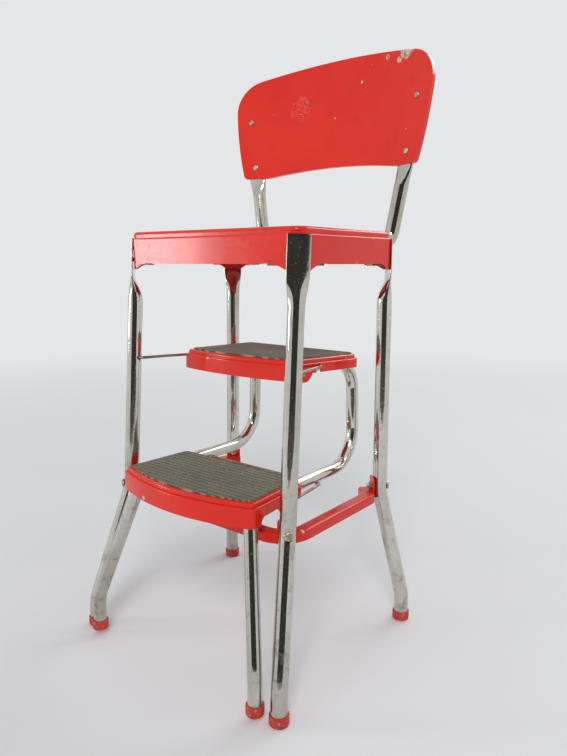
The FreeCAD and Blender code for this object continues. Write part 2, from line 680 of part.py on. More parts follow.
def bracket_outline(sx, sy):
    x = size("seat_half_width") - size("seat_sheet") - size("seat_gap")
    y = size("seat_half_depth") - size("seat_sheet") - size("seat_gap")
    reach = size("bracket_reach")
    wing = size("bracket_wing")
    points = [Vector(x - reach - wing, y, 0), Vector(x - reach, y, 0), Vector(x, y - reach, 0),
              Vector(x, y - reach - wing, 0)]
    outline = band(points, [3.0 + size("bracket_sheet")] * 2, -size("bracket_sheet"))
    if sx < 0:
        outline = outline.mirror(Vector(0, 0, 0), Vector(1, 0, 0))
    if sy < 0:
        outline = outline.mirror(Vector(0, 0, 0), Vector(0, 1, 0))
    return outline


studs = []
seat_nuts = []
for place, sx, sy in CORNERS:
    out = outward(sx, sy)
    low = seat_top - size("bracket_bottom_drop")
    strip = prism(place + "_bracket_strip", lifted(bracket_outline(sx, sy), low), "Sizes.bracket_height")
    tools = []
    web_face = out * (web_distance - size("bracket_sheet") - size("seat_gap"))
    side = Vector(-out.y, out.x, 0)
    for i, level in enumerate(seat_bolt_levels):
        leg_centre = leg_run_point(sx, sy, level)
        inside = web_face + side * leg_centre.dot(side) + Vector(0, 0, level)
        tools.append(cylinder("%s_bracket_hole_%d" % (place, i), inside - out, out,
                              "Sizes.bolt_radius + Sizes.bolt_clearance", "Sizes.bracket_sheet + 4"))
        tail = inside - out * (size("nut_thickness") + 2)
        leg_seat = leg_centre + out * (spoon_face - size("spoon_thick") / 2)
        stud = cylinder("%s_stud_%d" % (place, i), tail, out, "Sizes.bolt_radius", "1")
        stud.setExpression("Height", "%.6f" % (leg_seat - tail).Length)
        studs.append(stud)
        seat_nuts.append(nut("%s_seat_nut_%d" % (place, i), inside - out * size("seat_gap"), out * -1))
    if sy > 0:
        for i, level in enumerate(post_bolt_levels):
            start = Vector(sx * post_root_x, size("seat_half_depth"), level)
            tools.append(cylinder("%s_bracket_post_hole_%d" % (place, i), start, Vector(0, -1, 0),
                                  "Sizes.bolt_radius + Sizes.bolt_clearance", "Sizes.bracket_sheet + 4"))
    node(cut(place + "_bracket", strip, fuse(place + "_bracket_holes", tools)), place + "_seat_bracket")
node(compound("seat_stud_group", studs), "seat_studs")
node(compound("seat_nut_group", seat_nuts), "seat_nuts")


# Lower brace

def contact_sum(sy):
    """Sum of x and y on the plane that touches the legs' inner diagonal side."""
    levels = [leg_run_point(1, sy, size("brace_ear_top_z")), leg_knee(1, sy)]
    nearest = min(abs(p.x) + abs(p.y) for p in levels)
    return nearest - (size("leg_radius") + size("brace_leg_gap")) * sqrt(2)


front_contact = contact_sum(-1)
rear_contact = contact_sum(1)
rear_centre = leg_run_point(1, 1, brace_bolt_z)
front_centre = leg_run_point(1, -1, brace_bolt_z)
brace_x = size("seat_half_width") - size("brace_side_inset")
brace_front = size("seat_half_depth") + size("brace_front_reach")
half_ear = size("brace_ear_width") / 2


def brace_points(depth):
    """Outer line of the brace, or a line that deep inside it, from left to right."""
    x = brace_x
    lateral = (rear_centre.x - rear_centre.y) / 2
    middle = Vector(rear_contact / 2 + lateral, rear_contact / 2 - lateral, 0)
    end = middle + Vector(-1, 1, 0).normalize() * half_ear
    turn = Vector(x, rear_contact - x, 0)
    corner = Vector(x, -brace_front, 0)
    right = [end, turn, corner]
    left = [Vector(-p.x, p.y, 0) for p in right]
    points = left + right[::-1]
    return offset_points(points, depth) if depth else points


corner_radius = (brace_x + brace_front - front_contact) / (2 - sqrt(2))
brace_radii = [size("brace_bend_radius"), corner_radius, corner_radius, size("brace_bend_radius")]
channel = prism("brace_channel", lifted(band(brace_points(0), brace_radii, size("brace_width")),
                                        size("brace_bottom_z")), "Sizes.brace_height")
channel_soft = rounded("brace_rounded", channel, size("brace_edge_round"),
                       lambda e: at_level(brace_top)(e) and e.Length > size("brace_width") + 1e-3)
skin = size("brace_sheet")
hollow_points = brace_points(skin)
for end, beside in ((0, 1), (-1, -2)):
    run = (hollow_points[end] - hollow_points[beside]).normalize()
    hollow_points[end] = hollow_points[end] + run * 2
hollow = prism("brace_hollow", lifted(band(hollow_points, [r - skin for r in brace_radii],
                                           size("brace_width") - 2 * skin), size("brace_bottom_z") - skin),
               "Sizes.brace_height")
hollow_soft = rounded("brace_hollow_rounded", hollow, size("brace_edge_round") - skin,
                      lambda e: at_level(brace_top - skin)(e) and e.Length > size("brace_width"))
ears = []
ear_holes = []
brace_bolts = []
brace_nuts = []
for place, sx, sy in CORNERS:
    out = outward(sx, sy)
    contact = front_contact if sy < 0 else rear_contact
    centre = front_centre if sy < 0 else rear_centre
    lateral = (centre.x - abs(centre.y)) / 2
    middle = Vector(sx * (contact / 2 + lateral), sy * (contact / 2 - lateral), 0)
    side = Vector(-out.y, out.x, 0)
    low = size("brace_bottom_z")
    plate = [middle + side * half_ear, middle - side * half_ear,
             middle - side * half_ear - out * skin, middle + side * half_ear - out * skin]
    ear = prism(place + "_ear_blank", lifted(polygon(plate), low), "Sizes.brace_ear_top_z - Sizes.brace_bottom_z")
    ears.append(rounded(place + "_ear", ear, 6.0,
                        lambda e: at_level(size("brace_ear_top_z"))(e) and abs(e.Length - skin) < 1e-3))
    level = Vector(0, 0, brace_bolt_z)
    plane = middle + level
    ear_holes.append(cylinder(place + "_ear_hole", plane - out * 20, out,
                              "Sizes.bolt_radius + Sizes.bolt_clearance", "30"))
    leg_centre = leg_centre_at_bolt(sx, sy)
    seat = leg_centre + out * (size("leg_radius") - size("leg_flat_depth") + size("seat_gap"))
    inner_seat = plane - out * (skin + size("seat_gap"))
    shank = (seat - inner_seat).dot(out) + size("nut_thickness") + 3
    brace_bolts.append(screw(place + "_brace_bolt", seat, out, "%.6f" % shank,
                             "Sizes.bolt_head_radius", "Sizes.bolt_head_height", True))
    brace_nuts.append(nut(place + "_brace_nut", seat - out * (seat - inner_seat).dot(out), out * -1))
brace_body = fuse("brace_body", [channel_soft] + ears)
node(cut("brace", brace_body, fuse("brace_cuts", [hollow_soft] + ear_holes)), "lower_brace")
node(compound("brace_bolt_group", brace_bolts), "brace_bolts")
node(compound("brace_nut_group", brace_nuts), "brace_nuts")


# Back panel: a dished pressing on a cylinder that leans back

lean = radians(size("panel_lean"))
panel_base_z = seat_top + size("panel_bottom_rise")
panel_base_y = size("seat_half_depth") + size("panel_depth_y")


def panel_front(x, z):
    """Point of the panel's front face."""
    dish = size("panel_curve_radius") - sqrt(size("panel_curve_radius") ** 2 - x * x)
    return Vector(x, panel_base_y + (z - panel_base_z) * tan(lean) - dish / cos(lean), z)


def panel_normal(x):
    """Direction from the front face to the rear."""
    flat = x / size("panel_curve_radius")
    return Vector(flat, sqrt(1 - flat * flat) * cos(lean), -sqrt(1 - flat * flat) * sin(lean)).normalize()


def panel_outline(growth):
    low = panel_base_z + growth
    arch = low + size("panel_arch_rise")
    tab = size("panel_tab_x")
    foot = size("panel_lower_half_width") - growth
    side_top = Vector(size("panel_upper_half_width") - growth, 0, seat_top + size("panel_side_rise"))
    side_mid = Vector(size("panel_mid_half_width") - growth, 0, (low + side_top.z) / 2)
    crown = Vector(0, 0, seat_top + size("panel_crown_rise") - growth)
    radius = size("panel_crown_radius")
    side_top.z = crown.z - radius + sqrt(radius ** 2 - side_top.x ** 2)

    def left(p):
        return Vector(-p.x, p.y, p.z)

    start = Vector(foot, 0, low)
    edges = [Part.LineSegment(Vector(tab, 0, low), start).toShape(),
             Part.Arc(start, side_mid, side_top).toShape(),
             Part.Arc(side_top, crown, left(side_top)).toShape(),
             Part.Arc(left(side_top), left(side_mid), left(start)).toShape(),
             Part.LineSegment(left(start), Vector(-tab, 0, low)).toShape(),
             Part.Arc(Vector(-tab, 0, low), Vector(0, 0, arch), Vector(tab, 0, low)).toShape()]
    return Part.Wire(edges)


def panel_shell(name, inner, outer_expression):
    """The space between two cylinders on the panel's leaning axis."""
    radius = size("panel_curve_radius")
    axis = Vector(0, sin(lean), cos(lean))
    foot = Vector(0, panel_base_y - radius / cos(lean), panel_base_z)
    outer = cylinder(name + "_outer", foot, axis, outer_expression, "2 * Sizes.panel_crown_rise")
    core = cylinder(name + "_core", foot - axis * 5, axis, inner, "2 * Sizes.panel_crown_rise + 10")
    return cut(name, outer, core)


def common(name, first, second):
    feature = doc.addObject("Part::Common", name)
    feature.Base = first
    feature.Tool = second
    return feature


def side_corners(low, high):
    """Edges along Y at the blank's corners between two levels."""
    def wanted(edge):
        a, b = edge.firstVertex().Point, edge.lastVertex().Point
        along = abs(a.x - b.x) < 1e-4 and abs(a.z - b.z) < 1e-4
        return along and low < a.z < high and abs(a.x) > size("panel_tab_x") + 5
    return wanted


def panel_blank(name, growth):
    outline = panel_outline(growth)
    outline.translate(Vector(0, size("seat_half_depth") - 20, 0))
    block = prism(name + "_block", outline, "2 * Sizes.seat_half_depth", Vector(0, 1, 0))
    shoulders = rounded(name + "_shoulders", block, size("panel_shoulder_radius") - growth,
                        side_corners(seat_top + size("panel_side_rise") - 30, seat_top + size("panel_crown_rise")))
    return rounded(name + "_corners", shoulders, size("panel_corner_round") - growth,
                   side_corners(panel_base_z - 5, panel_base_z + 5))


panel_screws = []
for rise in ("panel_screw_low_rise", "panel_screw_high_rise"):
    panel_screws.append(seat_top + size(rise))


def post_x(z):
    heel = seat_top + size("post_heel_rise")
    share = (z - heel) / (size("post_top_rise") - size("post_heel_rise"))
    return size("seat_half_width") - size("post_heel_inset") + size("post_spread") * share


post_offset = size("panel_sheet") + size("seat_gap") + size("post_flat_thick") / 2
contacts = [panel_front(post_x(z), z) + panel_normal(post_x(z)) * post_offset for z in panel_screws]
post_run = (contacts[1] - contacts[0]).normalize()
post_normal = panel_normal(post_x(sum(panel_screws) / 2))
post_normal = (post_normal - post_run * post_normal.dot(post_run)).normalize()


def post_point(sx, z):
    """Centre of a post's leaning run at a height."""
    p = contacts[0] + post_run * ((z - contacts[0].z) / post_run.z)
    return Vector(sx * p.x, p.y, p.z)


def mirrored_x(v, sx):
    return Vector(sx * v.x, v.y, v.z)


def oval_section(centre, along, thin, width, thick, press):
    """Outline of a tube pressed from round (0) to a flat oval (1)."""
    radius = size("leg_radius")
    side = along.cross(thin).normalize()
    split = radians(55)
    half = width / 2
    lip = thick / 2
    corner = (radius * cos(split) + (lip * 0.96 - radius * cos(split)) * press,
              radius * sin(split) + (half - lip * 0.9 - radius * sin(split)) * press)
    flat = radius + (lip - radius) * press
    edge = radius + (half - radius) * press

    def at(u, v):
        return centre + thin * u + side * v

    corners = [at(corner[0], -corner[1]), at(corner[0], corner[1]), at(-corner[0], corner[1]),
               at(-corner[0], -corner[1])]
    middles = [at(flat, 0), at(0, edge), at(-flat, 0), at(0, -edge)]
    arcs = [Part.Arc(corners[i], middles[i], corners[(i + 1) % 4]).toShape() for i in range(4)]
    return Part.Wire(arcs)


def oval_loft(name, stations, ruled):
    sections = []
    for i, station in enumerate(stations):
        sections.append(shaped("%s_%d" % (name, i), oval_section(*station)))
    loft = doc.addObject("Part::Loft", name)
    loft.Sections = sections
    loft.Solid = True
    loft.Ruled = ruled
    return loft


def make_post(label, sx):
    width = size("post_flat_width")
    thick = size("post_flat_thick")
    run = mirrored_x(post_run, sx)
    thin = mirrored_x(post_normal, sx)
    back = Vector(0, 1, 0)
    up = Vector(0, 0, 1)
    top = seat_top + size("post_top_rise")
    flat_low = top - size("post_flat_length")
    taper_low = flat_low - size("post_flat_taper")
    root_low = seat_top - size("post_root_drop")
    skirt = size("seat_half_depth")
    root = Vector(sx * post_root_x, skirt + thick / 2 + size("seat_gap"), root_low)
    turn = root + up * size("post_root_length")
    heel = post_point(sx, seat_top + size("post_heel_rise"))
    jog = (heel - turn).normalize()
    jog_thin = Rotation(up, jog).multVec(back)
    flat_end = turn + jog * (size("post_root_bend") * tan(up.getAngle(jog) / 2) + 0.5)
    round_start = flat_end + jog * size("post_root_taper")
    upper = [post_point(sx, z) for z in (taper_low, flat_low, top)]
    flat_section = shaped(label + "_root_end", oval_section(root, up, back, width, thick, 1.0))
    pieces = [sweep(label + "_foot", [root, turn, flat_end], [size("post_root_bend")], None, flat_section)]
    pieces.append(oval_loft(label + "_shank", [(flat_end, jog, jog_thin, width, thick, 1.0),
                                               ((flat_end + round_start) * 0.5, jog, jog_thin, width, thick, 0.5),
                                               (round_start, jog, jog_thin, width, thick, 0.0)], False))
    pieces.append(sweep(label + "_tube", [round_start, heel, upper[0]], [size("post_bend_radius")],
                        "Sizes.leg_radius"))
    middle = (upper[0] + upper[1]) * 0.5
    pieces.append(oval_loft(label + "_neck", [(upper[0], run, thin, width, thick, 0.0),
                                              (middle, run, thin, width, thick, 0.5),
                                              (upper[1], run, thin, width, thick, 1.0)], False))
    pieces.append(oval_loft(label + "_blade", [(upper[1], run, thin, width, thick, 1.0),
                                               (upper[2], run, thin, width, thick, 1.0)], True))
    tools = []
    for i, level in enumerate(post_bolt_levels):
        tools.append(cylinder("%s_bolt_hole_%d" % (label, i), Vector(root.x, skirt - 5, level), back,
                              "Sizes.bolt_radius + Sizes.bolt_clearance", "Sizes.post_flat_thick + 20"))
    for i, level in enumerate(panel_screws):
        tools.append(cylinder("%s_screw_hole_%d" % (label, i), post_point(sx, level) - thin * 8, thin,
                              "Sizes.rivet_radius + Sizes.bolt_clearance", "16"))
    return cut(label + "_post", fuse(label + "_bar", pieces), fuse(label + "_holes", tools))


post_bolts = []
post_nuts = []
panel_rivets = []
panel_tools = []
panel_tools.append(common("panel_hollow", panel_blank("panel_hollow_blank", size("panel_sheet")),
                          panel_shell("panel_hollow_shell", "Sizes.panel_curve_radius + Sizes.panel_sheet",
                                      "Sizes.panel_curve_radius + Sizes.panel_rim + 5")))
for place, sx in (("left", -1), ("right", 1)):
    node(make_post("back_post_" + place, sx), "back_post_" + place)
    back = Vector(0, 1, 0)
    thin = mirrored_x(post_normal, sx)
    for i, level in enumerate(post_bolt_levels):
        outer = Vector(sx * post_root_x, size("seat_half_depth") + size("post_flat_thick")
                       + 2 * size("seat_gap"), level)
        inner_y = size("seat_half_depth") - size("seat_sheet") - 2 * size("seat_gap") - size("bracket_sheet")
        shank = outer.y - inner_y + size("nut_thickness") + 2
        post_bolts.append(screw("post_bolt_%s_%d" % (place, i), outer, back, "%.6f" % shank,
                                "Sizes.bolt_head_radius * 0.8", "Sizes.bolt_head_height * 0.8", False))
        post_nuts.append(nut("post_nut_%s_%d" % (place, i), Vector(outer.x, inner_y, level), back * -1))
    for i, level in enumerate(panel_screws):
        middle = post_point(sx, level)
        front = middle - thin * (post_offset + size("seat_gap"))
        head = cylinder("panel_rivet_head_%s_%d" % (place, i), front, thin * -1, "Sizes.rivet_head_radius",
                        "Sizes.rivet_head_height")
        doc.recompute()
        rim = front - thin * size("rivet_head_height")
        domed = rounded("panel_rivet_dome_%s_%d" % (place, i), head, size("rivet_head_height") * 0.8,
                        lambda e: e.Closed and (e.CenterOfMass - rim).Length < 1e-4)
        tail = post_offset + size("post_flat_thick") / 2 + 2 * size("seat_gap")
        shank = cylinder("panel_rivet_shank_%s_%d" % (place, i), front, thin, "Sizes.rivet_radius", "%.6f" % tail)
        upset = cylinder("panel_rivet_tail_%s_%d" % (place, i), front + thin * tail, thin,
                         "Sizes.rivet_head_radius * 0.9", "Sizes.rivet_head_height * 0.7")
        panel_rivets.append(fuse("panel_rivet_%s_%d" % (place, i), [domed, shank, upset]))
        panel_tools.append(cylinder("panel_hole_%s_%d" % (place, i), middle - thin * 20, thin,
                                    "Sizes.rivet_radius + Sizes.bolt_clearance", "40"))
    run = mirrored_x(post_run, sx)
    low = post_point(sx, panel_base_z - 20)
    notch = doc.addObject("Part::Box", "panel_notch_" + place)
    bind(notch, Length="Sizes.post_flat_width + 2 * Sizes.panel_post_gap",
         Width="Sizes.post_flat_thick + 20", Height="40")
    doc.recompute()
    side = run.cross(thin).normalize()
    turn = Rotation(side * -1, thin, run, "ZXY")
    inner = low - thin * (size("post_flat_thick") / 2 + size("seat_gap"))
    notch.Placement = Placement(inner + side * (notch.Length.Value / 2), turn)
    panel_tools.append(notch)
panel_form = common("panel_form", panel_blank("panel_outer_blank", 0),
                    panel_shell("panel_outer_shell", "Sizes.panel_curve_radius",
                                "Sizes.panel_curve_radius + Sizes.panel_rim"))
node(cut("panel", panel_form, fuse("panel_cuts", panel_tools)), "back_panel")
node(compound("panel_rivet_group", panel_rivets), "panel_rivets")
node(compound("post_bolt_group", post_bolts), "post_bolts")
node(compound("post_nut_group", post_nuts), "post_nuts")


# Step unit

def step_tube_points(sx):
    upper_y = -size("step_upper_front_y")
    back_y = size("step_back_y")
    x = size("step_back_x")
    foot = Vector(size("step_foot_x"), -size("step_foot_y"), size("step_lift") + size("cap_floor"))
    points = [Vector(size("step_upper_front_x"), upper_y, upper_tube_level(upper_y)),
              Vector(size("step_bend_x"), back_y, upper_tube_level(back_y)),
              Vector(x, back_y, lower_tube_z),
              Vector(size("step_lower_x"), -size("step_front_y"), lower_tube_z),
              Vector(foot.x, foot.y, size("step_ankle_height")),
              foot]
    return [mirrored_x(p, sx) for p in points]


step_bends = [size("step_upper_bend"), size("step_lower_bend"), size("step_front_bend"), size("step_ankle_bend")]


def make_step_tube(label, sx):
    points = step_tube_points(sx)
    outer = sweep(label + "_outer", points, step_bends, "Sizes.step_tube_radius")
    first = (points[0] - points[1]).normalize()
    inner_points = [points[0] + first * 2] + points[1:-1] + [points[-1] - Vector(0, 0, 2)]
    bore = sweep(label + "_bore", inner_points, step_bends, "Sizes.step_tube_radius - Sizes.step_tube_wall")
    tools = [bore]
    for name, hole in (("upper", upper_step_hole), ("lower", lower_step_hole)):
        start = Vector(sx * size("step_upper_front_x") * 0.6, hole.y, hole.z) - unit_shift
        tools.append(cylinder("%s_%s_hole" % (label, name), start, Vector(sx, 0, 0),
                              "Sizes.link_wire_radius + Sizes.link_pin_clearance", "Sizes.step_lower_x"))
    return cut(label, outer, fuse(label + "_cuts", tools))


for place, sx in (("left", -1), ("right", 1)):
    node(make_step_tube("step_frame_" + place, sx), "step_tube_" + place)
    centre = step_tube_points(sx)[-1] - Vector(0, 0, size("cap_floor"))
    node(foot_cap("step_cap_" + place, centre, "step_cap_radius", "step_tube_radius"), "step_foot_cap_" + place)


def tread_outline(which, growth):
    """Plan of a pan: bowed front, straight sides that widen or narrow to the rear."""
    front_y = -size(which + "_front_y")
    rear_y = size("upper_rear_y") if which == "upper" else -size("lower_rear_y")
    front_x = size(which + "_front_half")
    rear_x = size(which + "_rear_half")
    side = Vector(rear_x - front_x, rear_y - front_y, 0).normalize()
    push = Vector(-side.y, side.x, 0) * growth
    bow = size(which + "_bow")

    def on_side(y):
        base = Vector(front_x, front_y, 0) + push
        return base + side * ((y - base.y) / side.y)

    rear = on_side(rear_y - growth)
    chord = front_x
    radius = (chord * chord + bow * bow) / (2 * bow)
    centre = Vector(0, front_y - bow + radius, 0)
    reach = radius - growth
    near = on_side(front_y)
    a = side.dot(side)
    b = 2 * side.dot(near - centre)
    c = (near - centre).dot(near - centre) - reach * reach
    front = near + side * ((-b - sqrt(b * b - 4 * a * c)) / (2 * a))
    tip = Vector(0, centre.y - reach, 0)
    edges = [Part.LineSegment(rear, front).toShape(),
             Part.Arc(front, tip, mirrored_x(front, -1)).toShape(),
             Part.LineSegment(mirrored_x(front, -1), mirrored_x(rear, -1)).toShape(),
             Part.LineSegment(mirrored_x(rear, -1), rear).toShape()]
    return Part.Wire(edges)


def tread_prism(name, which, growth, low, height_expression, is_top):
    solid = prism(name, lifted(tread_outline(which, growth), low), height_expression)
    front = rounded(name + "_front", solid, size("pan_corner_round") - growth * 0.5,
                    lambda e: upright(e) and e.CenterOfMass.y < -size(which + "_front_y") + growth + 8)
    rear_y = size("upper_rear_y") if which == "upper" else -size("lower_rear_y")
    rear = rounded(name + "_rear", front, size("pan_rear_round") - growth,
                   lambda e: upright(e) and e.CenterOfMass.y > rear_y - growth - 2)
    doc.recompute()
    top = rear.Shape.BoundBox.ZMax
    edge_round = size("tread_round") if is_top else size("tread_round") * 0.7
    return rounded(name + "_edge", rear, max(edge_round - (growth % size("tread_ledge_width")), 0.5),
                   lambda e: all(abs(v.Z - top) < 1e-4 for v in e.Vertexes))


def tread_form(name, which, growth, top):
    """Outer form of a pan, or its hollow when the growth is the sheet."""
    skirt_alias = "lower_skirt" if which == "lower" else "upper_lobe"
    ledge_low = top - size(skirt_alias) - (2 if growth else 0)
    extra = "+ 2 - Sizes.tread_sheet" if growth else ""
    ledge = tread_prism(name + "_ledge", which, growth, ledge_low,
                        "Sizes.%s - Sizes.tread_ledge_drop %s" % (skirt_alias, extra), False)
    inner = growth + size("tread_ledge_width")
    low = top - size("tread_ledge_drop") - growth - 3
    tread = tread_prism(name + "_tread", which, inner, low, "Sizes.tread_ledge_drop + 3", True)
    return fuse(name, [ledge, tread])


def side_profile(points_and_arcs, low):
    """Area under the side skirts' lower edge, drawn in the YZ plane from front to rear."""
    edges = []
    last = None
    for item in points_and_arcs:
        if last is not None:
            if len(item) == 2:
                middle, end = item
                edges.append(Part.Arc(last, middle, end).toShape())
                last = end
                continue
            edges.append(Part.LineSegment(last, item[0]).toShape())
        last = item[0]
    first = points_and_arcs[0][0]
    edges.append(Part.LineSegment(last, Vector(0, last.y, low)).toShape())
    edges.append(Part.LineSegment(Vector(0, last.y, low), Vector(0, first.y, low)).toShape())
    edges.append(Part.LineSegment(Vector(0, first.y, low), first).toShape())
    return Part.Wire(edges)


def make_pan(which, top, tools):
    blank = tread_form(which + "_blank", which, 0, top)
    hollow = tread_form(which + "_hollow", which, size("tread_sheet"), top)
    return cut(which + "_pan", blank, fuse(which + "_pan_cuts", [hollow] + tools))


upper_top = size("upper_tread_z")
notch_y = size("step_hole_y") / cos(tilt)
notch_half = size("skirt_notch_width") / 2
side_low = upper_top - size("upper_side_skirt")
lobe_low = upper_top - size("upper_lobe")
lobe_end = -size("upper_front_y") + size("upper_lobe_length")
front_low = upper_top - size("upper_skirt")
notch_top = upper_top - size("tread_ledge_drop") - 1.5
upper_edge = [
    (Vector(0, -size("upper_front_y") - size("upper_bow") - 5, front_low),),
    (Vector(0, -size("upper_front_y") + 6, front_low),),
    (Vector(0, -size("upper_front_y") + 12, front_low - 2.6), Vector(0, -size("upper_front_y") + 20, lobe_low)),
    (Vector(0, lobe_end - 8, lobe_low),),
    (Vector(0, lobe_end - 1, lobe_low + 4), Vector(0, lobe_end + 5, side_low)),
    (Vector(0, notch_y - notch_half, side_low),),
    (Vector(0, notch_y - notch_half, notch_top - notch_half),),
    (Vector(0, notch_y, notch_top), Vector(0, notch_y + notch_half, notch_top - notch_half)),
    (Vector(0, notch_y + notch_half, side_low),),
    (Vector(0, size("upper_rear_y") + 10, side_low),),
]
span = "2.6 * Sizes.upper_rear_half"


def side_tool(name, edge, low):
    outline = side_profile(edge, low)
    outline.translate(Vector(-1.3 * size("upper_rear_half"), 0, 0))
    return prism(name, outline, span, Vector(1, 0, 0))


def rear_opening(name, which, top, rear_y, y_reach):
    """Opens the rear skirt between the corners, leaving a turned lip."""
    box = doc.addObject("Part::Box", name)
    bind(box, Length="2 * Sizes.%s_rear_half - 3 * Sizes.pan_rear_round" % which,
         Width="Sizes.pan_rear_round", Height="Sizes.upper_lobe + 10")
    doc.recompute()
    base = top - size("tread_ledge_drop") - size("rear_lip")
    box.Placement.Base = Vector(-box.Length.Value / 2, rear_y - y_reach, base - box.Height.Value)
    return box


upper_tools = [side_tool("upper_side_edge", upper_edge, lobe_low - 20)]
upper_tools.append(rear_opening("upper_rear_opening", "upper", upper_top, size("upper_rear_y"), 6))
upper_pan = make_pan("upper", upper_top, upper_tools)
tread_frame = Placement(Vector(0, 0, upper_top) - Rotation(Vector(1, 0, 0), -size("upper_tread_tilt"))
                        .multVec(Vector(0, 0, upper_top)), Rotation(Vector(1, 0, 0), -size("upper_tread_tilt")))
node(upper_pan, "upper_step_pan")
upper_pan.Placement = tread_frame

lower_top = size("lower_tread_z")
deep_end = -size("lower_front_y") + size("lower_lobe_length")
lower_low = lower_top - size("lower_skirt")
lower_side = lower_top - size("lower_side_skirt")
lower_edge = [
    (Vector(0, deep_end, lower_low - 5),),
    (Vector(0, deep_end, lower_low + 4),),
    (Vector(0, deep_end + 3, lower_side - 6), Vector(0, deep_end + 12, lower_side - 4)),
    (Vector(0, -size("lower_rear_y") + 10, lower_side),),
]
lower_tools = [side_tool("lower_side_edge", lower_edge, lower_low - 10)]
lower_tools.append(rear_opening("lower_rear_opening", "lower", lower_top, -size("lower_rear_y"), 6))
saddle_start = -size("lower_rear_y") - size("pan_rear_round") - size("tread_sheet")
for sx in (-1, 1):
    rear_run, front_run = step_tube_points(sx)[2:4]
    run = (rear_run - front_run).normalize()
    start = front_run + run * ((saddle_start - front_run.y) / run.y)
    lower_tools.append(cylinder("lower_saddle_%d" % sx, start, run, "Sizes.step_tube_radius + Sizes.saddle_gap",
                                "Sizes.lower_rear_y"))
node(make_pan("lower", lower_top, lower_tools), "lower_step_pan")


# Tread mats with grooves along X

def make_mat(which, top, rear_y):
    margin = size("tread_ledge_width") + size("mat_margin")
    low = top + size("seat_gap")
    blank = prism(which + "_mat_blank", lifted(tread_outline(which, margin), low), "Sizes.mat_thick")
    soft = rounded(which + "_mat_corners", blank, 5.0, upright)
    front = -size(which + "_front_y") - size(which + "_bow") + margin
    count = int((rear_y - margin - front) / size("mat_groove_pitch"))
    grooves = []
    for i in range(count):
        bar = doc.addObject("Part::Box", "%s_mat_groove_%d" % (which, i))
        bind(bar, Length="2.6 * Sizes.upper_rear_half", Width="Sizes.mat_groove_width", Height="Sizes.mat_groove_depth + 1")
        y = front + size("mat_groove_pitch") * (i + 0.8)
        bar.Placement.Base = Vector(-1.3 * size("upper_rear_half"), y, low + size("mat_thick") - size("mat_groove_depth"))
        grooves.append(bar)
    return cut(which + "_mat", soft, compound(which + "_mat_grooves", grooves))


upper_mat = make_mat("upper", upper_top, size("upper_rear_y"))
node(upper_mat, "upper_tread_mat")
upper_mat.Placement = tread_frame
node(make_mat("lower", lower_top, -size("lower_rear_y")), "lower_tread_mat")


# Wire bails

def pan_half_width(which, y):
    front_y = -size(which + "_front_y")
    rear_y = size("upper_rear_y") if which == "upper" else -size("lower_rear_y")
    share = (y - front_y) / (rear_y - front_y)
    return size(which + "_front_half") + (size(which + "_rear_half") - size(which + "_front_half")) * share


def make_bail(label, hole, step_hole, outside):
    inner_x = outside + size("link_side_gap")
    pin_x = hole.x - size("leg_radius") + size("leg_wall") + size("link_pin_reach")
    right = [Vector(pin_x, hole.y, hole.z), Vector(upper_hole.x - size("link_turn_inset"), hole.y, hole.z),
             Vector(inner_x, step_hole.y, step_hole.z)]
    points = right + [mirrored_x(p, -1) for p in right[::-1]]
    bend = size("link_bend")
    return sweep(label, points, [bend, bend, bend, bend], "Sizes.link_wire_radius")


upper_outside = pan_half_width("upper", size("step_hole_y"))
lower_outside = size("step_lower_x") + size("step_tube_radius")
node(make_bail("upper_wire", upper_hole, upper_step_hole, upper_outside), "upper_bail")
node(make_bail("lower_wire", lower_hole, lower_step_hole, lower_outside), "lower_bail")


# Hang the step unit on its links, centre the whole, test and write

for feature in nodes:
    if feature.Label.startswith(("step_", "upper_step", "lower_step", "upper_tread", "lower_tread")):
        feature.Placement = Placement(unit_shift, Rotation()).multiply(feature.Placement)
doc.recompute()
box = FreeCAD.BoundBox()
for feature in nodes:
    box.add(feature.Shape.optimalBoundingBox(False))
shift = Placement(Vector(-box.Center.x, -box.Center.y, -box.ZMin), Rotation())
for feature in nodes:
    feature.Placement = shift.multiply(feature.Placement)
doc.recompute()

broken = [thing.Name for thing in doc.Objects if set(thing.State) & {"Invalid", "Error"}]
if broken:
    raise RuntimeError("failed: " + ", ".join(broken))
os.makedirs("parts", exist_ok=True)
for feature in nodes:
    if feature.Shape.isNull() or not feature.Shape.isValid():
        raise RuntimeError("not valid: " + feature.Label)
    feature.Shape.exportStep("parts/%s.step" % feature.Label)

moved = shift.Base
for name, point in (("upper leg hole", upper_hole), ("lower leg hole", lower_hole),
                    ("upper step hole", upper_step_hole), ("lower step hole", lower_step_hole)):
    print(name, [round(v, 4) for v in (point + moved)])
swing = 180 + degrees(asin((size("link_fall") + size("step_lift")) / size("link_reach"))
                      + asin(size("link_fall") / size("link_reach")))
print("shift", moved, "swing", round(swing, 2), "nodes", len(nodes))
for feature in nodes:
    b = feature.Shape.optimalBoundingBox(False)
    print("%-24s %8.0f mm3 solids %d  %s" % (feature.Label, feature.Shape.Volume, len(feature.Shape.Solids),
          [round(v, 1) for v in (b.XMin, b.XMax, b.YMin, b.YMax, b.ZMin, b.ZMax)]))
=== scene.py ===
import bpy
import json
from math import cos, radians, sin
from mathutils import Matrix, Vector

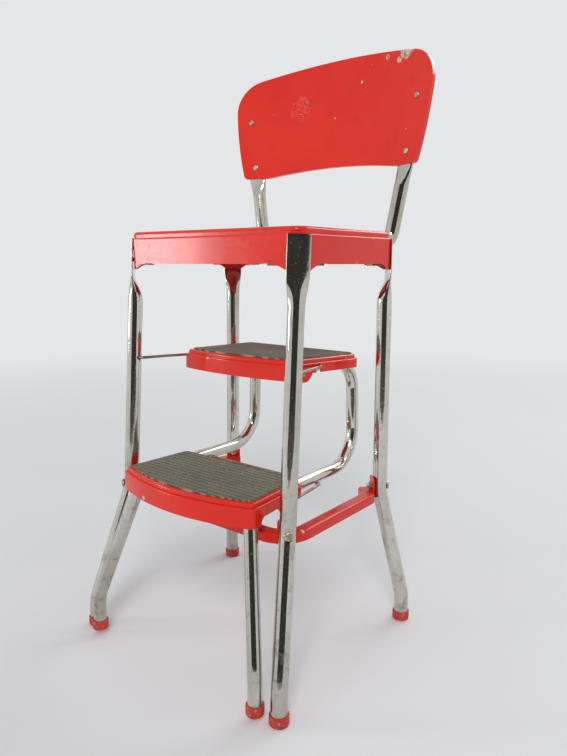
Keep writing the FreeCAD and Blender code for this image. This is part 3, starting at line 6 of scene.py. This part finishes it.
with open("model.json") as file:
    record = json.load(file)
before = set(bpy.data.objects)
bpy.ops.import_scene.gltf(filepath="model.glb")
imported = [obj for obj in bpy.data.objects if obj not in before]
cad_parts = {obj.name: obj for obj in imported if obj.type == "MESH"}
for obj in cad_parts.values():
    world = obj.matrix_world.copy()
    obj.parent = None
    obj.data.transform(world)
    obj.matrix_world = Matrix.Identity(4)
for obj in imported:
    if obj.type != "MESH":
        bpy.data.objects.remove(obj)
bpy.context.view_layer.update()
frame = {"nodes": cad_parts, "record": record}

# Metres. X runs from left to right as seen from the front, Y from front to back, Z up.
scene = bpy.context.scene
nodes = frame["nodes"]


# Camera at the photograph's viewing angle

PHOTO_HEIGHT = 756.0
FOCAL_PIXELS = 649.2
SENSOR_MM = 36.0
CAMERA_YAW = radians(38.30)
CAMERA_PITCH = radians(10.09)
CAMERA_ROLL = radians(0.11)
CENTRING_SHIFT = 0.00078
CAMERA_PLACE = Vector((0.6360, -0.7485 + CENTRING_SHIFT, 0.5661))


def make_camera():
    data = bpy.data.cameras.new("camera")
    data.sensor_fit = "AUTO"
    data.sensor_width = SENSOR_MM
    data.lens = FOCAL_PIXELS * SENSOR_MM / PHOTO_HEIGHT
    data.clip_start = 0.02
    data.clip_end = 40.0
    camera = bpy.data.objects.new("camera", data)
    scene.collection.objects.link(camera)
    forward = Vector((-sin(CAMERA_YAW) * cos(CAMERA_PITCH),
                      cos(CAMERA_YAW) * cos(CAMERA_PITCH),
                      -sin(CAMERA_PITCH)))
    right = Vector((cos(CAMERA_YAW), sin(CAMERA_YAW), 0.0))
    up = right.cross(forward)
    turned_right = right * cos(CAMERA_ROLL) + up * sin(CAMERA_ROLL)
    turned_up = up * cos(CAMERA_ROLL) - right * sin(CAMERA_ROLL)
    basis = Matrix((turned_right, turned_up, -forward)).transposed()
    camera.matrix_world = Matrix.Translation(CAMERA_PLACE) @ basis.to_4x4()
    scene.camera = camera


make_camera()


# Node helpers

# The Mix node has sockets of the same name for each data type. These are its colour ones.
MIX_COLOUR_A = 6
MIX_COLOUR_B = 7
MIX_COLOUR_RESULT = 2


class Nodes:
    """Short hand for building one material's node tree."""

    def __init__(self, name):
        self.material = bpy.data.materials.new(name)
        self.material.use_nodes = True
        self.tree = self.material.node_tree
        self.tree.nodes.clear()
        self.out = self.tree.nodes.new("ShaderNodeOutputMaterial")
        self.coords = self.tree.nodes.new("ShaderNodeTexCoord")

    def add(self, kind, **settings):
        made = self.tree.nodes.new(kind)
        for key, value in settings.items():
            setattr(made, key, value)
        return made

    def link(self, source, target):
        self.tree.links.new(source, target)

    def put(self, socket, value):
        """Link a socket, or set a constant."""
        if isinstance(value, bpy.types.NodeSocket):
            self.link(value, socket)
        else:
            socket.default_value = value

    def noise(self, scale, detail=4.0, rough=0.55, stretch=(1, 1, 1), distortion=0.0):
        mapping = self.add("ShaderNodeMapping")
        mapping.inputs["Scale"].default_value = stretch
        self.link(self.coords.outputs["Object"], mapping.inputs["Vector"])
        texture = self.add("ShaderNodeTexNoise")
        texture.inputs["Scale"].default_value = scale
        texture.inputs["Detail"].default_value = detail
        texture.inputs["Roughness"].default_value = rough
        texture.inputs["Distortion"].default_value = distortion
        self.link(mapping.outputs["Vector"], texture.inputs["Vector"])
        return texture.outputs["Fac"]

    def ramp(self, value, low, high, out_low=0.0, out_high=1.0):
        """A value from low to high, mapped to out_low to out_high and held beyond them."""
        node = self.add("ShaderNodeMapRange")
        node.inputs["From Min"].default_value = low
        node.inputs["From Max"].default_value = high
        node.inputs["To Min"].default_value = out_low
        node.inputs["To Max"].default_value = out_high
        self.link(value, node.inputs["Value"])
        return node.outputs["Result"]

    def mix(self, factor, a, b):
        node = self.add("ShaderNodeMix", data_type="RGBA")
        self.put(node.inputs["Factor"], factor)
        self.put(node.inputs[MIX_COLOUR_A], a)
        self.put(node.inputs[MIX_COLOUR_B], b)
        return node.outputs[MIX_COLOUR_RESULT]

    def math(self, operation, a, b):
        node = self.add("ShaderNodeMath", operation=operation)
        self.put(node.inputs[0], a)
        self.put(node.inputs[1], b)
        return node.outputs[0]

    def times(self, a, b):
        return self.math("MULTIPLY", a, b)

    def bump(self, height, strength, distance):
        node = self.add("ShaderNodeBump")
        node.inputs["Strength"].default_value = strength
        node.inputs["Distance"].default_value = distance
        self.link(height, node.inputs["Height"])
        return node.outputs["Normal"]

    def axis(self, letter):
        """One coordinate of the object's own space, in metres."""
        split = self.add("ShaderNodeSeparateXYZ")
        self.link(self.coords.outputs["Object"], split.inputs[0])
        return split.outputs[letter]

    def near(self, place, reach):
        """1 at a place on the part, falling to 0 at the reach, with a ragged rim."""
        away = self.add("ShaderNodeVectorMath", operation="DISTANCE")
        self.link(self.coords.outputs["Object"], away.inputs[0])
        away.inputs[1].default_value = place
        ragged = self.math("ADD", away.outputs["Value"], self.times(self.noise(130, 4), reach * 1.2))
        return self.ramp(ragged, reach * 1.35, reach * 1.55, 1.0, 0.0)

    def most(self, values):
        """The largest of several masks."""
        result = values[0]
        for value in values[1:]:
            result = self.math("MAXIMUM", result, value)
        return result

    def principled(self, colour, rough, metallic=0.0, normal=None,
                   coat=0.0, coat_rough=0.05, specular=0.5):
        node = self.add("ShaderNodeBsdfPrincipled")
        self.put(node.inputs["Base Color"], colour)
        self.put(node.inputs["Roughness"], rough)
        self.put(node.inputs["Metallic"], metallic)
        node.inputs["Specular IOR Level"].default_value = specular
        node.inputs["Coat Weight"].default_value = coat
        node.inputs["Coat Roughness"].default_value = coat_rough
        if normal is not None:
            self.link(normal, node.inputs["Normal"])
        return node.outputs[0]

    def surface(self, shader):
        """Finish the material with this shader."""
        self.link(shader, self.out.inputs["Surface"])
        return self.material


# Materials of the part

BRIGHT_RED = (0.76, 0.024, 0.008, 1)
DEEP_RED = (0.66, 0.014, 0.005, 1)
GRIMY_RED = (0.30, 0.020, 0.012, 1)
SCUFFED_RED = (0.80, 0.30, 0.20, 1)
SCRAPED_RED = (0.85, 0.45, 0.35, 1)
CHIP_CREAM = (0.70, 0.58, 0.42, 1)
CHIP_BROWN = (0.30, 0.20, 0.13, 1)
BRIGHT_CHROME = (0.68, 0.66, 0.60, 1)
CLOUDY_CHROME = (0.46, 0.44, 0.38, 1)
RUST = (0.20, 0.12, 0.07, 1)
PIT_BROWN = (0.11, 0.07, 0.045, 1)
WIRE_GREY = (0.40, 0.36, 0.31, 1)
PLATED_YELLOW = (0.60, 0.54, 0.42, 1)
BRACKET_DARK = (0.12, 0.11, 0.10, 1)
STEEL_STAIN = (0.22, 0.13, 0.07, 1)
CAP_RED = (0.58, 0.035, 0.02, 1)
CAP_WORN = (0.38, 0.03, 0.02, 1)
CAP_SCUFF = (0.62, 0.50, 0.40, 1)
MAT_GROOVE = (0.085, 0.085, 0.065, 1)
MAT_CREST = (0.25, 0.245, 0.175, 1)
MAT_WORN = (0.46, 0.44, 0.32, 1)
MAT_DUST = (0.48, 0.46, 0.38, 1)

# Places and sizes of the chips in the enamel
PANEL_CHIPS = (
    ((0.1330, 0.1850, 0.8800), 0.014),
    ((0.1215, 0.1872, 0.8690), 0.006),
    ((0.0975, 0.1923, 0.8780), 0.004),
    ((0.0496, 0.1956, 0.8501), 0.0025),
    ((0.0007, 0.1927, 0.8014), 0.002),
    ((-0.1200, 0.1800, 0.8200), 0.002),
    ((0.1446, 0.1680, 0.7640), 0.0025),
)
SEAT_CHIPS = (
    ((0.1640, 0.0090, 0.5640), 0.003),
    ((-0.1330, -0.1180, 0.5600), 0.005),
)
STEP_AND_BRACE_CHIPS = (
    ((-0.0450, -0.0700, 0.4275), 0.004),
    ((-0.0600, -0.1850, 0.2380), 0.004),
    ((0.1040, -0.0300, 0.4110), 0.003),
    ((0.1560, -0.1000, 0.2160), 0.004),
)
CHIPS = PANEL_CHIPS + SEAT_CHIPS + STEP_AND_BRACE_CHIPS
SCRAPE_PLACE = (-0.066, 0.190, 0.825)
SCRAPE_REACH = 0.024

# Radians per metre, for ribs 3 mm apart
RIB_FREQUENCY = 2094.0

# Rust on the tubes fades between these heights
RUST_LOW_Z = 0.05
RUST_HIGH_Z = 0.32


def scrape_mark(n):
    """Fine curved scratches on the back panel."""
    crease = n.noise(90, 3, 0.5, (1, 1, 3), 1.5)
    rising = n.ramp(crease, 0.495, 0.51)
    falling = n.ramp(crease, 0.51, 0.525, 1.0, 0.0)
    return n.times(n.times(rising, falling), n.near(SCRAPE_PLACE, SCRAPE_REACH))


def red_enamel(name):
    n = Nodes(name)
    mottle = n.ramp(n.noise(7, 3), 0.3, 0.7)
    base = n.mix(mottle, DEEP_RED, BRIGHT_RED)
    grime = n.ramp(n.noise(26, 6, 0.65), 0.58, 0.78)
    base = n.mix(n.times(grime, 0.35), base, GRIMY_RED)
    specks = n.ramp(n.noise(95, 6, 0.7), 0.715, 0.73)
    spots = n.most([n.near(place, reach) for place, reach in CHIPS])
    chips = n.most([specks, spots])
    bare = n.mix(n.ramp(n.noise(300, 3), 0.4, 0.6), CHIP_CREAM, CHIP_BROWN)
    scuffs = n.ramp(n.noise(40, 7, 0.75, (1, 1, 9)), 0.66, 0.70)
    base = n.mix(n.times(scuffs, 0.30), base, SCUFFED_RED)
    base = n.mix(n.times(scrape_mark(n), 0.7), base, SCRAPED_RED)
    colour = n.mix(chips, base, bare)
    gloss = n.ramp(n.noise(160, 5), 0.3, 0.7, 0.13, 0.27)
    rough = n.math("ADD", gloss, n.times(n.most([chips, scuffs]), 0.35))
    height = n.math("SUBTRACT", n.noise(18, 3), n.times(chips, 0.6))
    normal = n.bump(height, 0.14, 0.002)
    return n.surface(n.principled(colour, rough, 0.0, normal, coat=0.12, coat_rough=0.08, specular=0.32))


def chrome(name):
    n = Nodes(name)
    cloud = n.ramp(n.noise(16, 5, 0.6, (1, 1, 0.35)), 0.35, 0.68)
    base = n.mix(cloud, BRIGHT_CHROME, CLOUDY_CHROME)
    foot = n.ramp(n.axis("Z"), RUST_LOW_Z, RUST_HIGH_Z, 1.0, 0.0)
    rusty = n.times(n.ramp(n.noise(60, 6, 0.7), 0.52, 0.66), n.ramp(foot, 0.0, 1.0, 0.25, 1.0))
    pits = n.ramp(n.noise(420, 5, 0.65), 0.62, 0.68)
    colour = n.mix(n.times(rusty, 0.6), base, RUST)
    colour = n.mix(n.times(pits, 0.8), colour, PIT_BROWN)
    wear = n.math("ADD", n.times(pits, 0.35), n.times(rusty, 0.25))
    rough = n.math("ADD", n.ramp(cloud, 0.0, 1.0, 0.05, 0.12), wear)
    height = n.math("SUBTRACT", n.noise(34, 3), n.times(pits, 0.4))
    return n.surface(n.principled(colour, rough, 1.0, n.bump(height, 0.08, 0.002)))


def plain_steel(name, colour, rough):
    n = Nodes(name)
    stain = n.ramp(n.noise(60, 5), 0.42, 0.70)
    base = n.mix(stain, colour, STEEL_STAIN)
    normal = n.bump(n.noise(300, 4), 0.1, 0.0005)
    return n.surface(n.principled(base, n.ramp(stain, 0, 1, rough, 0.6), 0.9, normal))


def red_rubber(name):
    n = Nodes(name)
    wear = n.ramp(n.noise(70, 5, 0.6), 0.35, 0.7)
    scuff = n.ramp(n.noise(240, 4, 0.6), 0.60, 0.66)
    base = n.mix(n.times(scuff, 0.6), n.mix(wear, CAP_RED, CAP_WORN), CAP_SCUFF)
    normal = n.bump(n.noise(500, 4), 0.2, 0.0005)
    return n.surface(n.principled(base, n.ramp(wear, 0, 1, 0.40, 0.7), 0.0, normal))


def ribbed_mat(name):
    n = Nodes(name)
    ribs = n.ramp(n.math("SINE", n.times(n.axis("Y"), RIB_FREQUENCY), 0.0), -0.5, 0.7)
    worn = n.ramp(n.noise(20, 5, 0.6), 0.35, 0.65)
    base = n.mix(ribs, MAT_GROOVE, n.mix(worn, MAT_CREST, MAT_WORN))
    dust = n.ramp(n.noise(210, 5, 0.7), 0.58, 0.68)
    base = n.mix(n.times(dust, 0.5), base, MAT_DUST)
    height = n.math("ADD", ribs, n.times(n.noise(600, 3), 0.3))
    normal = n.bump(height, 0.8, 0.0008)
    return n.surface(n.principled(base, n.ramp(worn, 0, 1, 0.55, 0.8), 0.0, normal, specular=0.35))


# One material for each slot that the record gives
MATERIALS = {
    "red_enamel": red_enamel("red_enamel_paint"),
    "chrome_tube": chrome("worn_chrome"),
    "plain_wire": plain_steel("wire_steel", WIRE_GREY, 0.34),
    "plated_hardware": plain_steel("plated_steel", PLATED_YELLOW, 0.25),
    "dark_steel": plain_steel("dark_bracket_steel", BRACKET_DARK, 0.5),
    "rubber_mat": ribbed_mat("ribbed_mat"),
    "red_rubber": red_rubber("red_cap"),
}

for subpart in frame["record"]["subparts"]:
    piece = nodes[subpart["node"]]
    piece.data.materials.clear()
    piece.data.materials.append(MATERIALS[subpart["material_slot"]])


# Floor and background

PALE = (0.78, 0.79, 0.80, 1)
FLOOR_LOW = (0.79, 0.80, 0.81, 1)
FLOOR_HIGH = (0.81, 0.82, 0.83, 1)
FLOOR_HALF = 12.0
FLOOR_DROP = 0.0002
FLOOR_FADE_START = 0.5
FLOOR_FADE_END = 3.2


def add_stage(name, points, faces):
    mesh = bpy.data.meshes.new(name)
    mesh.from_pydata(points, [], faces)
    made = bpy.data.objects.new(name, mesh)
    scene.collection.objects.link(made)
    return made


def floor_material():
    """A diffuse floor that fades with distance to the background's own colour."""
    n = Nodes("floor_pale")
    soft = n.ramp(n.noise(3, 2), 0.3, 0.7)
    near = n.principled(n.mix(soft, FLOOR_LOW, FLOOR_HIGH), 0.65)
    far = n.add("ShaderNodeEmission")
    far.inputs["Color"].default_value = PALE
    away = n.add("ShaderNodeVectorMath", operation="LENGTH")
    n.link(n.coords.outputs["Object"], away.inputs[0])
    blend = n.add("ShaderNodeMixShader")
    n.link(n.ramp(away.outputs["Value"], FLOOR_FADE_START, FLOOR_FADE_END), blend.inputs["Fac"])
    n.link(near, blend.inputs[1])
    n.link(far.outputs[0], blend.inputs[2])
    return n.surface(blend.outputs[0])


def make_floor():
    h = FLOOR_HALF
    floor = add_stage("floor", [(-h, -h, 0), (h, -h, 0), (h, h, 0), (-h, h, 0)], [(0, 1, 2, 3)])
    floor.location.z = -FLOOR_DROP
    floor.data.materials.append(floor_material())


# A dark studio flag in front of the chair, outside the frame, for the tubes to reflect.
# Each row is a distance ahead, a height and half a width.
FLAG_DIRECTION = (0.62, -0.78, 0.0)
FLAG_ROWS = ((1.5, 0.002, 1.2), (4.5, 0.002, 3.4), (4.5, 2.4, 3.4))
FLAG_DARK = (0.035, 0.033, 0.028, 1)
FLAG_LIGHTER = (0.07, 0.066, 0.055, 1)


def make_flag():
    ahead = Vector(FLAG_DIRECTION).normalized()
    across = Vector((-ahead.y, ahead.x, 0.0))
    points = []
    for distance, height, half in FLAG_ROWS:
        for side in (-1, 1):
            points.append(ahead * distance + across * half * side + Vector((0, 0, height)))
    flag = add_stage("flag", points, [(0, 1, 3, 2), (2, 3, 5, 4)])
    flag.visible_camera = False
    flag.visible_diffuse = False
    flag.visible_shadow = False
    n = Nodes("flag_cloth")
    cloth = n.principled(n.mix(n.noise(2, 2), FLAG_DARK, FLAG_LIGHTER), 0.9)
    flag.data.materials.append(n.surface(cloth))


# Lamps, each with its place, aim, width, height and watts

LAMPS = {
    "key": ((1.5, -2.3, 2.5), (0, 0, 0.4), 1.0, 1.0, 44),
    "left": ((-2.24, -1.95, 0.68), (0, 0, 0.5), 0.5, 0.6, 13),
    "back": ((0.4, 2.2, 2.0), (0, 0, 0.5), 1.6, 0.8, 18),
}


def make_lamp(name, place, target, width, height, watts):
    data = bpy.data.lights.new(name, "AREA")
    data.shape = "RECTANGLE"
    data.size = width
    data.size_y = height
    data.energy = watts
    made = bpy.data.objects.new(name, data)
    made.location = place
    made.rotation_euler = (Vector(target) - Vector(place)).to_track_quat("-Z", "Y").to_euler()
    scene.collection.objects.link(made)


# World: a soft ambient light, and the pale background for what the camera,
# the metal and any clear surface see

AMBIENT_COLOUR = (0.95, 0.97, 1.0, 1)
AMBIENT_STRENGTH = 0.5


def make_world():
    world = bpy.data.worlds.new("world")
    scene.world = world
    world.use_nodes = True
    tree = world.node_tree
    tree.nodes.clear()
    out = tree.nodes.new("ShaderNodeOutputWorld")
    ambient = tree.nodes.new("ShaderNodeBackground")
    ambient.inputs["Color"].default_value = AMBIENT_COLOUR
    ambient.inputs["Strength"].default_value = AMBIENT_STRENGTH
    pale = tree.nodes.new("ShaderNodeBackground")
    pale.inputs["Color"].default_value = PALE
    path = tree.nodes.new("ShaderNodeLightPath")
    mix = tree.nodes.new("ShaderNodeMixShader")
    seen = path.outputs["Is Camera Ray"]
    for other in ("Is Glossy Ray", "Is Transmission Ray"):
        either = tree.nodes.new("ShaderNodeMath")
        either.operation = "MAXIMUM"
        tree.links.new(seen, either.inputs[0])
        tree.links.new(path.outputs[other], either.inputs[1])
        seen = either.outputs[0]
    tree.links.new(seen, mix.inputs["Fac"])
    tree.links.new(ambient.outputs[0], mix.inputs[1])
    tree.links.new(pale.outputs[0], mix.inputs[2])
    tree.links.new(mix.outputs[0], out.inputs["Surface"])


make_floor()
make_flag()
for lamp_name, settings in LAMPS.items():
    make_lamp(lamp_name, *settings)
make_world()
scene.view_settings.view_transform = "Standard"
